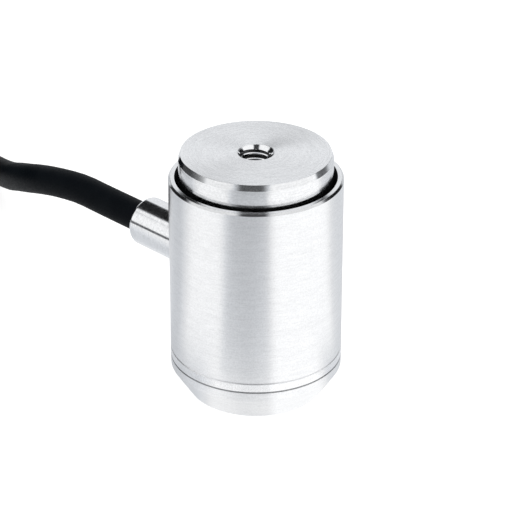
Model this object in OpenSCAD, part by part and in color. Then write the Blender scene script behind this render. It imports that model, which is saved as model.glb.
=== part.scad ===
// Canister load cell with a threaded load head, a threaded foot and a fixed cable.
// Origin: centre of the foot's flat face. +Z points to the load face, and the cable leaves along -X.

/* [Overall] */
// Height from the foot's face to the load face
overall_h = 45; // [43:0.5:50]
// How far the load head stands out of the casing
head_rise = 4.4; // [3.5:0.1:6]

/* [Casing] */
// Outside diameter of the casing, its collar and the foot's band
casing_d = 30; // [29.5:0.5:34]
// Wall of the casing below the diaphragm's seat
casing_wall = 1.8; // [1.6:0.1:2]
// Wall of the casing at its open rim
rim_wall = 1.05; // [0.85:0.05:1.2]
// Chamfer on the rim's outer edge
rim_chamfer = 0.35; // [0.2:0.05:0.5]
// Depth of the diaphragm's seat below the rim
seat_depth = 6.6; // [5.5:0.1:7]
// Chamfers that show as the fine line of the weld
weld_chamfer = 0.12; // [0.08:0.02:0.2]

/* [Foot] */
// Radial width of the foot's lowest edge
foot_edge_w = 0.6; // [0.4:0.1:1]
// Height of the foot's lowest edge
foot_edge_h = 0.9; // [0.6:0.1:1.2]
// Radial width of the foot's taper
foot_taper_w = 2.5; // [1.5:0.1:3]
// Height of the foot's taper
foot_taper_h = 3.9; // [3:0.1:4.5]
// Height of the straight band above the taper
foot_band_h = 1.55; // [1:0.05:2.5]
// Width of the turned groove
groove_w = 0.3; // [0.2:0.05:0.5]
// Depth of the turned groove
groove_depth = 0.35; // [0.2:0.05:0.6]
// Height of the collar between the groove and the weld
collar_h = 1.55; // [1:0.05:2.5]
// Height of the spigot that the casing sits on
spigot_h = 2.3; // [2:0.1:3]

/* [Load head] */
// Gap between the head and the rim
head_gap = 0.7; // [0.5:0.05:0.9]
// Radial width of the bevel around the load face
head_bevel_w = 0.35; // [0.2:0.05:0.6]
// Height of the bevel around the load face
head_bevel_h = 1; // [0.5:0.1:1.5]
// Depth of the socket that takes the neck
socket_depth = 3; // [2:0.1:3.2]
// Gap between the head and the diaphragm's ridge
head_lift = 0.5; // [0.3:0.1:0.8]

/* [Threads] */
// Bore of both threaded holes, which is the thread's inner diameter
thread_bore = 5; // [4.5:0.1:5.5]
// Diameter of the countersink in the load head
head_mouth_d = 6.4; // [6:0.1:7]
// Diameter of the countersink in the foot
foot_mouth_d = 5.8; // [5.6:0.1:6]
// Depth of the thread in the load head
head_thread_depth = 6; // [5:0.1:6.2]
// Depth of the thread in the foot
foot_thread_depth = 8; // [6:0.5:9]

/* [Sensing column] */
// Width of the square column
column_side = 6; // [5:0.1:7]
// Radius where the column runs into its ends
column_fillet = 2; // [1:0.1:2.4]
// Diameter of the pedestal under the column
pedestal_d = 10.4; // [10:0.1:11]
// Height of the pedestal
pedestal_h = 3; // [2:0.1:4]
// Diameter of the shoulder that carries the diaphragm
shoulder_d = 13; // [12:0.1:14]
// Height of the shoulder
shoulder_h = 3.2; // [2:0.1:4]
// Diameter of the neck in the head's socket
neck_d = 9.6; // [8:0.1:10]

/* [Diaphragm] */
// Thickness of the diaphragm
diaphragm_t = 0.3; // [0.2:0.05:0.4]
// Height of its round ridge
ridge_h = 0.5; // [0.3:0.05:0.7]
// Width of its round ridge
ridge_w = 2.4; // [1.6:0.1:3]

/* [Strain gauges] */
// Width of a gauge's film
gauge_w = 4.4; // [3.6:0.1:4.8]
// Height of a gauge's film
gauge_h = 7; // [6:0.1:8]
// Thickness of a gauge's film
film_t = 0.1; // [0.05:0.05:0.2]
// Thickness of the foil grid on the film
foil_t = 0.05; // [0.05:0.05:0.1]
// Diameter of the wires from the gauges to the board
bridge_wire_d = 0.35; // [0.25:0.05:0.5]
// Distance between the two wires of a gauge
bridge_pitch = 2.4; // [2:0.1:2.8]

/* [Circuit board] */
// Thickness of the ring-shaped board
board_t = 1.2; // [0.8:0.1:1.6]
// Gap between the board and the casing
board_gap = 1.2; // [0.6:0.1:1.6]
// Gap between the board and the pedestal
board_hole_gap = 0.4; // [0.2:0.1:0.5]
// Height of the spacers under the board
spacer_h = 4.5; // [3.5:0.1:5]
// Outside diameter of a spacer
spacer_d = 3.2; // [2.8:0.1:3.6]
// Distance of the screws from the board's edge
screw_edge = 2.6; // [2.2:0.1:2.8]
// Shank diameter of a board screw
screw_d = 1.6; // [1.4:0.1:2]
// Depth of a board screw in the foot
screw_bite = 2.6; // [2:0.1:3]

/* [Gland] */
// Height of the gland's axis above the foot's face
gland_z = 22; // [21.5:0.5:23]
// Wall of the gland's barrel
gland_wall = 0.8; // [0.7:0.1:1]
// How far the barrel stands out of the casing
gland_out = 13.2; // [12:0.1:15]
// Radius of the barrel's outer edge
gland_round = 0.6; // [0.3:0.1:0.7]
// Wall of the rubber seal around the cable
seal_wall = 0.9; // [0.8:0.1:1.1]
// Thickness of the lip that holds the seal in
lip_t = 1.2; // [0.8:0.1:1.4]
// Thickness of each brass washer
washer_t = 0.8; // [0.5:0.1:1]
// Length of the rubber seal
seal_l = 6; // [5:0.1:6.4]
// Length of the crimp sleeve on the cable
sleeve_l = 3.4; // [2.6:0.1:3.8]
// Wall of the crimp sleeve
sleeve_wall = 0.6; // [0.4:0.1:0.7]

/* [Cable] */
// Outside diameter of the cable
cable_d = 5.6; // [5.4:0.1:5.8]
// Diameter of a core with its insulation
core_d = 1.2; // [1:0.1:1.4]
// Distance between neighbouring cores
core_pitch = 1.6; // [1.5:0.1:1.8]
// Diameter of the shield's drain wire
drain_d = 0.5; // [0.4:0.1:0.6]
// Length of the bare leads at the far end
lead_l = 16; // [10:1:17]

/* [Stored cable] */
// Turns side by side in the folded hank
hank_columns = 2; // [2]
// Turns on top of each other in the folded hank
hank_layers = 6; // [5:1:6]
// Length of the folded hank
hank_l = 84; // [82:1:90]
// Width of the strap around the hank
strap_w = 10; // [8:1:14]
// Thickness of the strap
strap_t = 1; // [0.8:0.1:1]

/* [Hidden] */
$fn = 96;

// Clearance of parts that slide into each other
slip = 0.04;
// Overlap that cuts run past a face
past = 1;

// Heights, from the foot's face upwards
taper_z = foot_edge_h + foot_taper_h;
groove_z = taper_z + foot_band_h;
weld_z = groove_z + groove_w + collar_h;
base_top_z = weld_z + spigot_h;
column_z = base_top_z + pedestal_h;
rim_z = overall_h - head_rise;
seat_z = rim_z - seat_depth;
shoulder_z = seat_z - shoulder_h;
head_z = seat_z + diaphragm_t + ridge_h + head_lift;
neck_top_z = head_z + socket_depth;
gauge_z = (column_z + shoulder_z) / 2;
board_z = base_top_z + spacer_h;
board_top_z = board_z + board_t;
pin_head_h = 1;
pin_tail_h = 0.5;
pin_top_z = board_top_z + pin_head_h;
pad_h = 0.25;
drill_point_h = 0.3 * thread_bore;
tab_side = 1;
tab_inset = 0.3;
tab_z = gauge_z - gauge_h / 2 + tab_inset + tab_side / 2;

// Radii from the axis
casing_r = casing_d / 2;
inner_r = casing_r - casing_wall;
rim_r = casing_r - rim_wall;
head_r = rim_r - head_gap;
edge_r = casing_r - foot_taper_w;
foot_r = edge_r - foot_edge_w;
board_r = inner_r - board_gap;
board_hole_r = pedestal_d / 2 + board_hole_gap;
screw_circle_r = board_r - screw_edge;
chamber_d = cable_d + 2 * seal_wall;
gland_d = chamber_d + 2 * gland_wall;
pad_r = 0.4;
pad_reach = board_hole_r + 2 * pad_r;

// Places along the gland's axis, measured outwards from the casing's axis
gland_end = casing_r + gland_out;
gland_inside = 1.2;
gland_start = inner_r - gland_inside;
washer_1 = gland_end - lip_t;
seal_1 = washer_1 - washer_t;
washer_2 = seal_1 - seal_l;
sleeve_1 = washer_2 - washer_t;
jacket_end = sleeve_1 - sleeve_l;
drain_r = cable_d / 2 + sleeve_wall / 2;

// Rows of the terminal pins, measured outwards from the axis
pin_shank_r = 0.35;
pin_head_r = 0.5;
drain_row = board_r - 2 * pin_head_r;
low_row = drain_row - 1.8;
high_row = low_row - core_pitch;

// Radii of the bends where wires turn down to the board
bridge_bend_r = 0.9;
core_bend_r = 1.8;
drain_bend_r = 0.8;

// Directions of the column's faces and of the screws, which leave the gland's side to the pins
axial_turns = [45, 225];
transverse_turns = [135, 315];
screw_turns = [-90, 0, 90];

// The route of the cable from the gland's chamber, over the surface and into the hank
cable_route = [
    [-16, 0, 22], [-22, 0, 22], [-28, 0, 22], [-34, 0, 22], [-40, 0, 22], [-46, 0, 22],
    [-52, 0, 21.2], [-58, 0.7, 19.6], [-64, 2.3, 17.3], [-70, 4.7, 14.7], [-76, 7.6, 11.8],
    [-82, 10.8, 9.1], [-88, 13.6, 6.8], [-94, 15.9, 5.1], [-100, 17.1, 4.2], [-106, 17.2, 3.8]
];
cable_sides = 12;

// The hank lies behind the gland with its long side along X
hank_near = 88;
hank_fold_r = 3 * cable_d;
hank_out_r = hank_fold_r + (hank_columns - 0.5) * cable_d;
hank_in_r = hank_fold_r - cable_d / 2;
hank_mid = hank_near + hank_l / 2;
hank_straight = hank_l - 2 * hank_out_r;
hank_h = hank_layers * cable_d;
// The jacket stops in the lowest outer track just past the strap, and the leads run on there
lead_gap = 1.5;
lead_start = hank_mid - strap_w / 2 - lead_gap;
lead_y = cable_d / 2 - hank_out_r;
lead_z = strap_t + cable_d / 2;

steel = [0.79, 0.79, 0.80];
polished_steel = [0.86, 0.86, 0.87];
brass = [0.80, 0.65, 0.32];
rubber_black = [0.07, 0.07, 0.075];

// Signs of the four cores' places in the cable: across, then up
red_place = [1, 1];
black_place = [-1, 1];
green_place = [1, -1];
white_place = [-1, -1];

function unit(v) = v / norm(v);
function heading(route, i) = unit(route[min(i + 1, len(route) - 1)] - route[max(i - 1, 0)]);
function sideways(route, i) = unit(cross([0, 0, 1], heading(route, i)));
function upwards(route, i) = cross(heading(route, i), sideways(route, i));

// A plain tube around a route that never stands upright
module swept_tube(route, radius, sides) {
    last = len(route) - 1;
    rings = [
        for (i = [0 : last], k = [0 : sides - 1])
            route[i] + radius * cos(360 * k / sides) * sideways(route, i)
                + radius * sin(360 * k / sides) * upwards(route, i)
    ];
    walls = [
        for (i = [0 : last - 1], k = [0 : sides - 1])
            [i * sides + k, (i + 1) * sides + k, (i + 1) * sides + (k + 1) % sides, i * sides + (k + 1) % sides]
    ];
    start_cap = [for (k = [0 : sides - 1]) k];
    end_cap = [for (k = [sides - 1 : -1 : 0]) last * sides + k];
    polyhedron(points = rings, faces = concat(walls, [start_cap, end_cap]));
}

// A ring or rod around the gland's axis between two distances from the casing's axis
module on_gland(from, to, outer_r, inner_r = 0) {
    translate([-to, 0, gland_z]) rotate([0, 90, 0]) {
        if (inner_r > 0) {
            difference() {
                cylinder(h = to - from, r = outer_r);
                translate([0, 0, -past]) cylinder(h = to - from + 2 * past, r = inner_r);
            }
        } else {
            cylinder(h = to - from, r = outer_r);
        }
    }
}

// A wire that runs level along +X, turns down in a quarter bend and ends pointing down
module bent_wire(run, drop, bend_r, d) {
    rotate([0, 90, 0]) cylinder(h = run - bend_r, d = d, $fn = 24);
    translate([run - bend_r, 0, -bend_r]) rotate([90, 0, 0])
        rotate_extrude(angle = 90, $fn = 24) translate([bend_r, 0]) circle(d = d, $fn = 24);
    translate([run, 0, -drop]) cylinder(h = drop - bend_r, d = d, $fn = 24);
}

// The four faces of the column, each seen from its own side
module on_column_face(turn) {
    rotate([0, 0, turn]) translate([column_side / 2, 0, gauge_z]) children();
}

module around_screws() {
    for (turn = screw_turns) rotate([0, 0, turn]) translate([screw_circle_r, 0, 0]) children();
}

// One turned piece: tapered foot, collar, spigot, pedestal, square column, shoulder and neck
module sensing_element() {
    color(steel) difference() {
        union() {
            rotate_extrude() polygon([
                [0, 0], [foot_r, 0], [edge_r, foot_edge_h], [casing_r, taper_z], [casing_r, groove_z],
                [casing_r - groove_depth, groove_z], [casing_r - groove_depth, groove_z + groove_w],
                [casing_r, groove_z + groove_w], [casing_r, weld_z - weld_chamfer],
                [casing_r - weld_chamfer, weld_z], [inner_r - slip, weld_z],
                [inner_r - slip, base_top_z], [0, base_top_z]
            ]);
            rotate([0, 0, axial_turns[0]]) intersection() {
                translate([0, 0, base_top_z - past])
                    cylinder(h = shoulder_z + slip - base_top_z + past, d = pedestal_d);
                column_sides();
                rotate([0, 0, 90]) column_sides();
            }
            rotate_extrude() polygon([
                [0, shoulder_z], [shoulder_d / 2, shoulder_z], [shoulder_d / 2, seat_z],
                [neck_d / 2, seat_z], [neck_d / 2, neck_top_z], [0, neck_top_z]
            ]);
        }
        threaded_bore(foot_thread_depth, foot_mouth_d, drill_point_h);
        around_screws() translate([0, 0, base_top_z - screw_bite]) cylinder(h = screw_bite + past, d = screw_d);
    }
}

// The outline of pedestal and column from one side, milled away with a round flare at both ends
module column_sides() {
    half = pedestal_d;
    reach = column_side / 2 + column_fillet;
    column_h = shoulder_z - column_z;
    translate([0, half, 0]) rotate([90, 0, 0]) linear_extrude(2 * half) difference() {
        translate([-half, base_top_z - 2 * past]) square([2 * half, shoulder_z - base_top_z + 3 * past]);
        for (side = [0, 1]) mirror([side, 0]) {
            translate([reach, column_z]) square([half, column_h]);
            translate([column_side / 2, column_z + column_fillet]) square([half, column_h - 2 * column_fillet]);
            for (z = [column_z + column_fillet, shoulder_z - column_fillet])
                translate([reach, z]) circle(r = column_fillet);
        }
    }
}

// The bore of a threaded hole that opens downwards at z = 0, with its countersink and the drill's point
module threaded_bore(depth, mouth_d, point_h) {
    sink = (mouth_d - thread_bore) / 2;
    translate([0, 0, -past]) cylinder(h = depth + past, d = thread_bore);
    translate([0, 0, -past]) cylinder(h = sink + past, r1 = mouth_d / 2 + past, r2 = thread_bore / 2);
    if (point_h > 0) translate([0, 0, depth]) cylinder(h = point_h, r1 = thread_bore / 2, r2 = 0);
}

// The casing is open at the top, with a step inside for the diaphragm and a hole for the gland
module casing_tube() {
    color(steel) difference() {
        rotate_extrude() polygon([
            [inner_r, weld_z], [casing_r - weld_chamfer, weld_z], [casing_r, weld_z + weld_chamfer],
            [casing_r, rim_z - rim_chamfer], [casing_r - rim_chamfer, rim_z], [rim_r, rim_z],
            [rim_r, seat_z], [inner_r, seat_z]
        ]);
        on_gland(gland_start, casing_r + past, gland_d / 2);
    }
}

// The head is pressed on the neck, and its flat face takes the load
module load_head() {
    color(steel) difference() {
        rotate_extrude() polygon([
            [0, head_z], [head_r - rim_chamfer, head_z], [head_r, head_z + rim_chamfer],
            [head_r, overall_h - head_bevel_h], [head_r - head_bevel_w, overall_h], [0, overall_h]
        ]);
        translate([0, 0, head_z - past]) cylinder(h = socket_depth + past, d = neck_d + 2 * slip);
        translate([0, 0, overall_h]) rotate([180, 0, 0]) threaded_bore(head_thread_depth, head_mouth_d, 0);
    }
}

// A thin ring that seals the casing below the head and gives way through its round ridge
module diaphragm() {
    ridge_r = (shoulder_d / 2 + inner_r) / 2;
    steps = 12;
    ridge = [
        for (i = [0 : steps])
            [ridge_r + ridge_w * (i / steps - 0.5), seat_z + ridge_h * (1 - cos(360 * i / steps)) / 2]
    ];
    underside = concat([[neck_d / 2 + slip, seat_z]], ridge, [[rim_r - slip, seat_z]]);
    top = [for (i = [len(underside) - 1 : -1 : 0]) underside[i] + [0, diaphragm_t]];
    color(polished_steel) rotate_extrude() polygon(concat(underside, top));
}

// One gauge: a film with a foil grid, whose lines run along its height or across it
module gauge(lengthwise) {
    lines = 6;
    grid_w = gauge_w * 0.6;
    grid_h = gauge_h * 0.36;
    grid_rise = gauge_h * 0.12;
    line_w = grid_w / (2 * lines - 1);
    translate([0, -gauge_w / 2, -gauge_h / 2]) cube([film_t, gauge_w, gauge_h]);
    translate([film_t, 0, grid_rise]) rotate([lengthwise ? 0 : 90, 0, 0]) {
        for (i = [0 : lines - 1])
            translate([0, -grid_w / 2 + 2 * i * line_w, -grid_h / 2]) cube([foil_t, line_w, grid_h]);
        for (i = [0 : lines - 2])
            translate([0, -grid_w / 2 + 2 * i * line_w, i % 2 == 0 ? grid_h / 2 - line_w : -grid_h / 2])
                cube([foil_t, 3 * line_w, line_w]);
    }
    for (side = [-1, 1])
        translate([film_t, side * bridge_pitch / 2 - tab_side / 2, -gauge_h / 2 + tab_inset])
            cube([foil_t, tab_side, tab_side]);
}

module axial_gauges() {
    color("peru") for (turn = axial_turns) on_column_face(turn) gauge(true);
}

module transverse_gauges() {
    color("peru") for (turn = transverse_turns) on_column_face(turn) gauge(false);
}

// Two wires from each gauge's tabs out over the board's inner edge and down to its pads
module bridge_wires() {
    start = column_side / 2 + film_t + foil_t;
    drop = tab_z - board_top_z - pad_h;
    bend_r = min(bridge_bend_r, drop - bridge_wire_d / 2);
    color("firebrick") for (turn = concat(axial_turns, transverse_turns), side = [-1, 1])
        rotate([0, 0, turn]) translate([start, side * bridge_pitch / 2, tab_z])
            bent_wire(pad_reach - start, drop, bend_r, bridge_wire_d);
}

module solder_pads() {
    color("lightgray") for (turn = concat(axial_turns, transverse_turns), side = [-1, 1])
        rotate([0, 0, turn]) translate([pad_reach, side * bridge_pitch / 2, board_top_z])
            cylinder(h = pad_h, r = pad_r, $fn = 24);
}

// Places of the five terminal pins
module at_pins() {
    translate([-drain_row, 0, 0]) children();
    for (side = [-1, 1]) {
        translate([-low_row, side * core_pitch / 2, 0]) children();
        translate([-high_row, side * core_pitch / 2, 0]) children();
    }
}

module circuit_board() {
    color("darkgreen") difference() {
        translate([0, 0, board_z]) cylinder(h = board_t, r = board_r);
        translate([0, 0, board_z - past]) cylinder(h = board_t + 2 * past, r = board_hole_r);
        translate([0, 0, board_z - past]) {
            at_pins() cylinder(h = board_t + 2 * past, r = pin_shank_r, $fn = 24);
            around_screws() cylinder(h = board_t + 2 * past, d = screw_d + 2 * slip, $fn = 32);
        }
    }
}

module board_spacers() {
    color("ivory") around_screws() difference() {
        translate([0, 0, base_top_z]) cylinder(h = spacer_h, d = spacer_d, $fn = 32);
        translate([0, 0, base_top_z - past]) cylinder(h = spacer_h + 2 * past, d = screw_d + 2 * slip, $fn = 32);
    }
}

// Pan-head screws with a hexagon recess
module board_screws() {
    head_h = 1;
    head_d = 1.9 * screw_d;
    recess_d = 0.8 * screw_d;
    shank_z = base_top_z - screw_bite;
    color("silver") around_screws() difference() {
        union() {
            translate([0, 0, shank_z]) cylinder(h = board_top_z - shank_z, d = screw_d, $fn = 32);
            translate([0, 0, board_top_z]) cylinder(h = head_h, d = head_d, $fn = 32);
        }
        translate([0, 0, board_top_z + head_h / 2]) cylinder(h = head_h, d = recess_d, $fn = 6);
    }
}

module terminal_pins() {
    color("gold") at_pins() {
        translate([0, 0, board_z - pin_tail_h])
            cylinder(h = board_t + pin_tail_h, r = pin_shank_r, $fn = 24);
        translate([0, 0, board_top_z]) cylinder(h = pin_head_h, r = pin_head_r, $fn = 24);
    }
}

// Flat chips on the side of the board away from the cable
module trim_resistors() {
    chip_w = 1.6;
    chip_l = 3.2;
    chip_h = 0.6;
    color("dimgray") for (turn = [-62, -28, 28, 62])
        rotate([0, 0, turn])
            translate([screw_circle_r - chip_w / 2, -chip_l / 2, board_top_z]) cube([chip_w, chip_l, chip_h]);
}

// Small round resistors lying flat beside the cable's pins
module temperature_resistors() {
    cap_d = 1.5;
    cap_l = 0.6;
    body_d = 1.3;
    body_l = 3.4;
    color("steelblue") for (turn = [150, 210])
        rotate([0, 0, turn]) translate([screw_circle_r, -body_l / 2, board_top_z + cap_d / 2])
            rotate([-90, 0, 0]) {
                cylinder(h = body_l, d = body_d, $fn = 24);
                cylinder(h = cap_l, d = cap_d, $fn = 24);
                translate([0, 0, body_l - cap_l]) cylinder(h = cap_l, d = cap_d, $fn = 24);
            }
}

// A turned tube, welded into the casing, with a rounded outer end and a lip around the cable
module gland_barrel() {
    r = gland_d / 2;
    length = gland_end - gland_start;
    color(polished_steel) difference() {
        translate([-gland_end, 0, gland_z]) rotate([0, 90, 0]) rotate_extrude() {
            translate([0, gland_round]) square([r, length - gland_round]);
            square([r - gland_round, gland_round + slip]);
            translate([r - gland_round, gland_round]) circle(r = gland_round);
        }
        on_gland(gland_start - past, washer_1, chamber_d / 2);
        on_gland(gland_start, gland_end + past, cable_d / 2 + 2 * slip);
    }
}

module outer_washer() {
    color(brass) on_gland(seal_1, washer_1, chamber_d / 2 - slip, cable_d / 2 + slip);
}

module cable_seal() {
    color(rubber_black) on_gland(washer_2, seal_1, chamber_d / 2, cable_d / 2);
}

module inner_washer() {
    color(brass) on_gland(sleeve_1, washer_2, chamber_d / 2 - slip, cable_d / 2 + slip);
}

module crimp_sleeve() {
    color("tan") on_gland(jacket_end, sleeve_1, cable_d / 2 + sleeve_wall, cable_d / 2);
}

// Resin behind the sleeve, cast around the cores
module potting_plug() {
    color("darkslategray") difference() {
        on_gland(gland_start, jacket_end, chamber_d / 2);
        for (place = [red_place, black_place, green_place, white_place])
            translate([0, place[0] * core_pitch / 2, place[1] * core_pitch / 2])
                on_gland(gland_start - past, jacket_end + past, core_d / 2);
        translate([0, 0, -drain_r]) on_gland(gland_start - past, jacket_end + past, drain_d / 2);
    }
}

// One insulated core from the jacket's end, through the resin and down to its pin
module core(place) {
    row = place[1] > 0 ? high_row : low_row;
    start_z = gland_z + place[1] * core_pitch / 2;
    translate([-jacket_end, place[0] * core_pitch / 2, start_z])
        bent_wire(jacket_end - row, start_z - pin_top_z, core_bend_r, core_d);
}

module red_core() {
    color("firebrick") core(red_place);
}

module black_core() {
    color("black") core(black_place);
}

module green_core() {
    color("seagreen") core(green_place);
}

module white_core() {
    color("white") core(white_place);
}

module drain_wire() {
    start_z = gland_z - drain_r;
    color("silver") translate([-jacket_end, 0, start_z])
        bent_wire(jacket_end - drain_row, start_z - pin_top_z, drain_bend_r, drain_d);
}

// The cable's visible length, cut where it goes into the hank
module cable() {
    color(rubber_black) difference() {
        swept_tube(cable_route, cable_d / 2, cable_sides);
        hank_body();
    }
}

module stadium(r) {
    square([hank_straight, 2 * r], center = true);
    for (side = [-1, 1]) translate([side * hank_straight / 2, 0]) circle(r = r);
}

module hank_body() {
    translate([-hank_mid, 0, strap_t]) linear_extrude(hank_h) difference() {
        stadium(hank_out_r);
        stadium(hank_in_r);
    }
}

// Length along X with the outline of the turns where the strap crosses them, seen from the end:
// the cable comes in through the inner track at the bottom, climbs, and comes down outside
module hank_outline(length, r) {
    outer = hank_out_r - cable_d / 2;
    low = strap_t + cable_d / 2;
    high = strap_t + hank_h - cable_d / 2;
    translate([-hank_mid - length / 2, 0, 0]) rotate([90, 0, 90]) linear_extrude(length) hull()
        for (turn = [
            [-outer, low], [hank_fold_r, low], [outer, low + cable_d], [outer, high], [-outer, high - cable_d / 2]
        ]) translate(turn) circle(r = r, $fn = 32);
}

// The rest of the cable, folded flat in turns that lie beside and on each other
module cable_hank() {
    color(rubber_black) difference() {
        intersection() {
            hank_body();
            hank_outline(hank_l + 2 * past, cable_d / 2);
        }
        translate([-lead_start, -hank_out_r - past, strap_t - past])
            cube([lead_l + slip, cable_d + past, cable_d + past]);
    }
}

module hank_strap() {
    color("dimgray") difference() {
        hank_outline(strap_w, cable_d / 2 + strap_t);
        hank_outline(strap_w + 2 * past, cable_d / 2);
    }
}

// The four leads in the track that the jacket leaves free
module lead_ends() {
    color("tan") for (place = [red_place, black_place, green_place, white_place])
        translate([-lead_start, lead_y + place[0] * core_pitch / 2, lead_z + place[1] * core_pitch / 2])
            rotate([0, 90, 0]) cylinder(h = lead_l, d = core_d, $fn = 24);
}

sensing_element();
casing_tube();
load_head();
diaphragm();
axial_gauges();
transverse_gauges();
bridge_wires();
circuit_board();
board_spacers();
board_screws();
solder_pads();
terminal_pins();
trim_resistors();
temperature_resistors();
gland_barrel();
outer_washer();
cable_seal();
inner_washer();
crimp_sleeve();
potting_plug();
red_core();
black_core();
green_core();
white_core();
drain_wire();
cable();
cable_hank();
hank_strap();
lead_ends();
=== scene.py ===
import bpy
import math
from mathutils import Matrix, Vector


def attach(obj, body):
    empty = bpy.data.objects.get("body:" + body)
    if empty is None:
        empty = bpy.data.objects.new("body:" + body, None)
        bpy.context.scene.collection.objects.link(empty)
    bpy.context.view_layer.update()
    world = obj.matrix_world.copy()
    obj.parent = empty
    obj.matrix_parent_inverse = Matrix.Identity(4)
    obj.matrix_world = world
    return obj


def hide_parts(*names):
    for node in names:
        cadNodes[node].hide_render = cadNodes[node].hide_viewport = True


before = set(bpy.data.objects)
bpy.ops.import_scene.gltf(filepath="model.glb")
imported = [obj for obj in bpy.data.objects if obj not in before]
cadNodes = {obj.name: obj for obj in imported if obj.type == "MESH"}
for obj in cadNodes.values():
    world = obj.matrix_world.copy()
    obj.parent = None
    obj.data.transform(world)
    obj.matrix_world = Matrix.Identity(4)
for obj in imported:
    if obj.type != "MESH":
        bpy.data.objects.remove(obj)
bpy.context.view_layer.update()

mm = 0.001
tiny = 1e-6
sameSpot = 0.002 * mm  # points closer than this become one
shortEdge = 0.001 * mm


def addObject(name, data):
    item = bpy.data.objects.new(name, data)
    bpy.context.scene.collection.objects.link(item)
    return item


# A camera and a lamp look along their own -Z
def lookFrom(item, place, aim):
    item.location = place
    item.rotation_euler = (Vector(aim) - Vector(place)).to_track_quat("-Z", "Y").to_euler()


print("camera")
cameraView = {
    "place": (0.26347, -0.25977, 0.21892),
    "lookAt": (0, 0, 0.025146),
    "lens": 169.65,
    "sensor": 36,
    "sees": (0.01, 20),  # from and to, in metres
}
cameraData = bpy.data.cameras.new("studioCamera")
cameraData.lens = cameraView["lens"]
cameraData.sensor_width = cameraView["sensor"]
cameraData.clip_start, cameraData.clip_end = cameraView["sees"]
studioCamera = addObject("studioCamera", cameraData)
lookFrom(studioCamera, cameraView["place"], cameraView["lookAt"])
bpy.context.scene.camera = studioCamera


# Everything is deselected before a new piece is started
def clearSelection():
    if bpy.context.object and bpy.context.object.mode != "OBJECT":
        bpy.ops.object.mode_set(mode="OBJECT")
    bpy.ops.object.select_all(action="DESELECT")


def pickPiece(piece):
    clearSelection()
    piece.select_set(True)
    bpy.context.view_layer.objects.active = piece


def addModifier(piece, name, kind, **settings):
    modifier = piece.modifiers.new(name, kind)
    for key, value in settings.items():
        setattr(modifier, key, value)


def applyModifiers(piece):
    pickPiece(piece)
    for modifier in list(piece.modifiers):
        bpy.ops.object.modifier_apply(modifier=modifier.name)


def smoothBelow(degrees):
    bpy.ops.object.shade_smooth_by_angle(angle=math.radians(degrees))


# A line of points in edit mode, drawn from one corner of a small plane
def drawLine(name, points, closed=False):
    clearSelection()
    bpy.ops.mesh.primitive_plane_add(size=mm, location=(0, 0, 0))
    piece = bpy.context.object
    piece.name = name
    here = piece.data.vertices[0].co.copy()
    bpy.ops.object.mode_set(mode="EDIT")
    bpy.ops.mesh.select_mode(type="VERT")
    bpy.ops.mesh.select_all(action="DESELECT")
    bpy.ops.object.mode_set(mode="OBJECT")
    for vertex in piece.data.vertices:
        vertex.select = vertex.index != 0
    bpy.ops.object.mode_set(mode="EDIT")
    bpy.ops.mesh.delete(type="VERT")
    bpy.ops.mesh.select_all(action="SELECT")
    for number, point in enumerate(points):
        there = Vector(point) * mm
        if number == 0:
            bpy.ops.transform.translate(value=there - here)
        else:
            bpy.ops.mesh.extrude_region_move(TRANSFORM_OT_translate={"value": there - here})
        here = there
    if closed:
        bpy.ops.mesh.select_all(action="SELECT")
        bpy.ops.mesh.edge_face_add()
        bpy.ops.mesh.delete(type="ONLY_FACE")
    return piece


# A turned solid: its outline runs from the axis round and back to the axis
def turnedSolid(name, outline, edgeBreak, steps=144):
    piece = drawLine(name, [(r, 0, z) for r, z in outline])
    bpy.ops.mesh.select_all(action="SELECT")
    bpy.ops.mesh.spin(steps=steps, angle=2 * math.pi, center=(0, 0, 0), axis=(0, 0, 1))
    bpy.ops.mesh.select_all(action="SELECT")
    bpy.ops.mesh.remove_doubles(threshold=sameSpot)
    bpy.ops.mesh.normals_make_consistent(inside=False)
    bpy.ops.object.mode_set(mode="OBJECT")
    addModifier(piece, "brokenEdges", "BEVEL", width=edgeBreak * mm, segments=2, limit_method="ANGLE",
                angle_limit=math.radians(25))
    applyModifiers(piece)
    smoothBelow(15)
    return piece


print("cable")
cable = {
    "diameter": 5.6,
    "length": 1.93,
    "exit": (-28.2, 0, 22),
    "sides": 20,
    "ringStep": 2.8,
    "route": [  # as in part.scad
        (-16, 0, 22), (-22, 0, 22), (-28, 0, 22), (-34, 0, 22), (-40, 0, 22), (-46, 0, 22),
        (-52, 0, 21.2), (-58, 0.7, 19.6), (-64, 2.3, 17.3), (-70, 4.7, 14.7), (-76, 7.6, 11.8),
        (-82, 10.8, 9.1), (-88, 13.6, 6.8), (-94, 15.9, 5.1), (-100, 17.1, 4.2), (-106, 17.2, 3.8),
    ],
}
hank = {
    "nearFold": -113.2,
    "farFold": -146.8,
    "innerRadius": 16.8,
    "outerRadius": 22.4,
    "runShare": 0.18,  # part of a turn in one straight run
    "pointsPerTurn": 24,
    "turnOut": (4.68, 5),  # turns between which the cable changes to the outer column
    "lastTurn": 9.625,
    "heights": [(0, 3.8), (4.68, 30), (5, 32.1), (5.929, 27.1), (8.929, 10.6)],
    "endHeight": 3.8,
    "endSlope": -3.83,  # with which the last stretch sets off for the floor
}


def easeBetween(start, end, share):
    share = min(max(share, 0), 1)
    return start + (end - start) * share * share * (3 - 2 * share)


# The cable climbs through the inner column, comes down the outer one and ends on the floor
def hankHeight(turn):
    heights = hank["heights"]
    for (turnA, zA), (turnB, zB) in zip(heights, heights[1:]):
        if turn <= turnB:
            return zA + (zB - zA) * (turn - turnA) / (turnB - turnA)
    turnA, zA = heights[-1]
    q = (turn - turnA) / (hank["lastTurn"] - turnA)
    return easeBetween(zA, hank["endHeight"], q) + hank["endSlope"] * q * (1 - q)**2


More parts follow.
